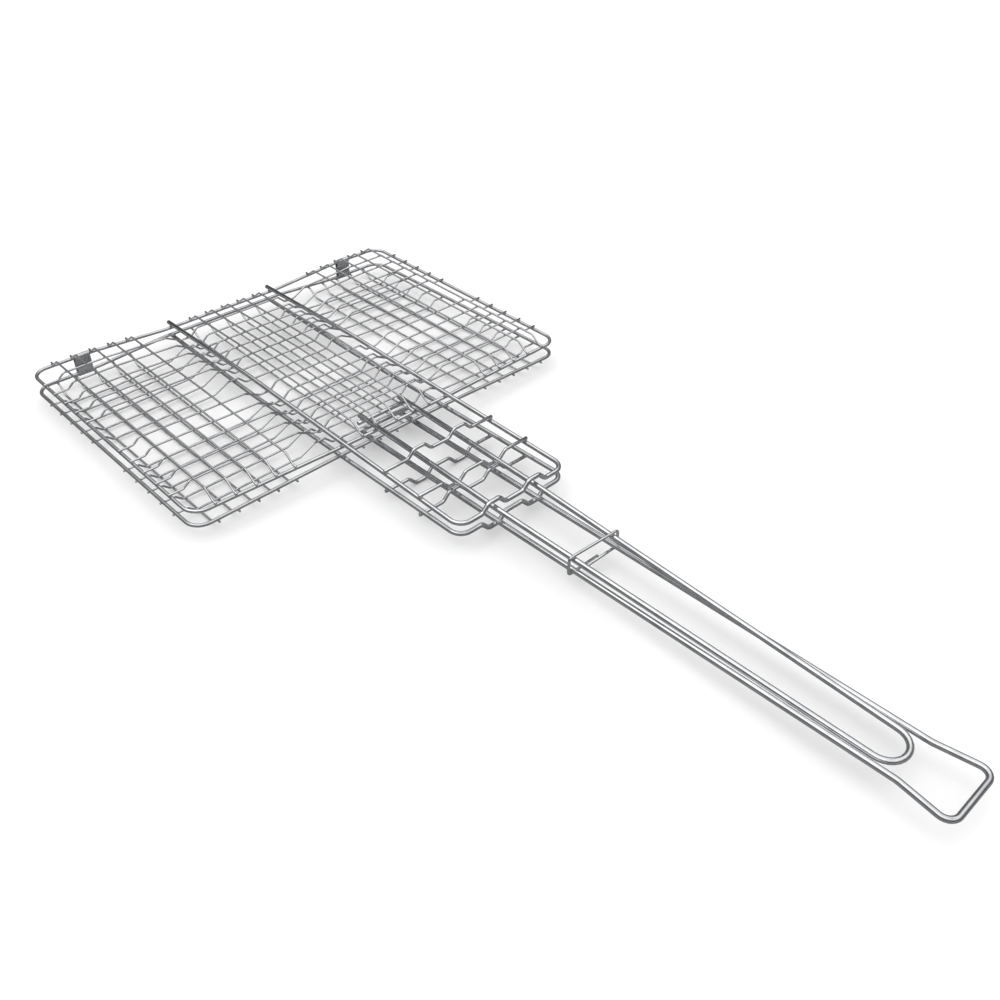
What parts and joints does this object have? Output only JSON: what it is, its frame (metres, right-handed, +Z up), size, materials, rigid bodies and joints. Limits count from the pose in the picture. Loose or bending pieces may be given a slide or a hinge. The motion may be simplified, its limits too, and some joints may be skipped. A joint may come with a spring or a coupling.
{
  "type": "campfire grill basket",
  "caption": "Hinged wire grill basket for cooking over a fire, with a long double wire handle, a sliding ring that latches it shut and a loop to hang it by.",
  "frame": {"origin": "bottom centre of the closed basket's bounding box, on the surface that it stands on", "axes": "+Y from the handle towards the hinge, +X to the right seen from the handle, +Z up"},
  "size_m": [0.4038, 0.8204, 0.0378],
  "materials": {
    "plated_wire": "steel wire with bright plating",
    "plated_strip": "steel strip with bright plating"
  },
  "bodies": {
    "lower_grid": {"lower_rim_frame": "plated_wire", "lower_spine": "plated_wire", "lower_inner_crossbar": "plated_wire", "lower_outer_crossbar": "plated_wire", "lower_length_wires_left": "plated_wire", "lower_length_wires_middle": "plated_wire", "lower_length_wires_right": "plated_wire", "lower_cross_wires_near": "plated_wire", "lower_cross_wires_far": "plated_wire", "left_hinge_clip": "plated_strip", "right_hinge_clip": "plated_strip"},
    "upper_grid": {"upper_rim_frame": "plated_wire", "upper_spine": "plated_wire", "upper_inner_crossbar": "plated_wire", "upper_outer_crossbar": "plated_wire", "upper_length_wires_left": "plated_wire", "upper_length_wires_middle": "plated_wire", "upper_length_wires_right": "plated_wire", "upper_cross_wires_near": "plated_wire", "upper_cross_wires_far": "plated_wire"},
    "upper_slide": {"upper_handle": "plated_wire", "upper_stop_bar": "plated_wire"},
    "lower_slide": {"lower_handle": "plated_wire", "lower_stop_bar": "plated_wire"},
    "latch": {"latch_ring": "plated_wire"}
  },
  "joints": [
    {"name": "lid_hinge", "type": "hinge", "parent": "lower_grid", "child": "upper_grid", "pos_m": [0, 0.40412, 0.02732], "axis": [-1, 0, 0], "range_deg": [0, 180]},
    {"name": "lower_handle_slide", "type": "slide", "parent": "lower_grid", "child": "lower_slide", "axis": [0, -0.9999, 0.0159], "range_m": [-0.135, 0.013]},
    {"name": "upper_handle_slide", "type": "slide", "parent": "upper_grid", "child": "upper_slide", "axis": [0, -0.9999, -0.0171], "range_m": [-0.135, 0.013]},
    {"name": "ring_slide", "type": "slide", "parent": "lower_grid", "child": "latch", "axis": [0, -1, 0], "range_m": [0, 0.262]}
  ],
  "couplings": [
    {"joint": "upper_handle_slide", "follows": "lower_handle_slide", "ratio": 1}
  ]
}
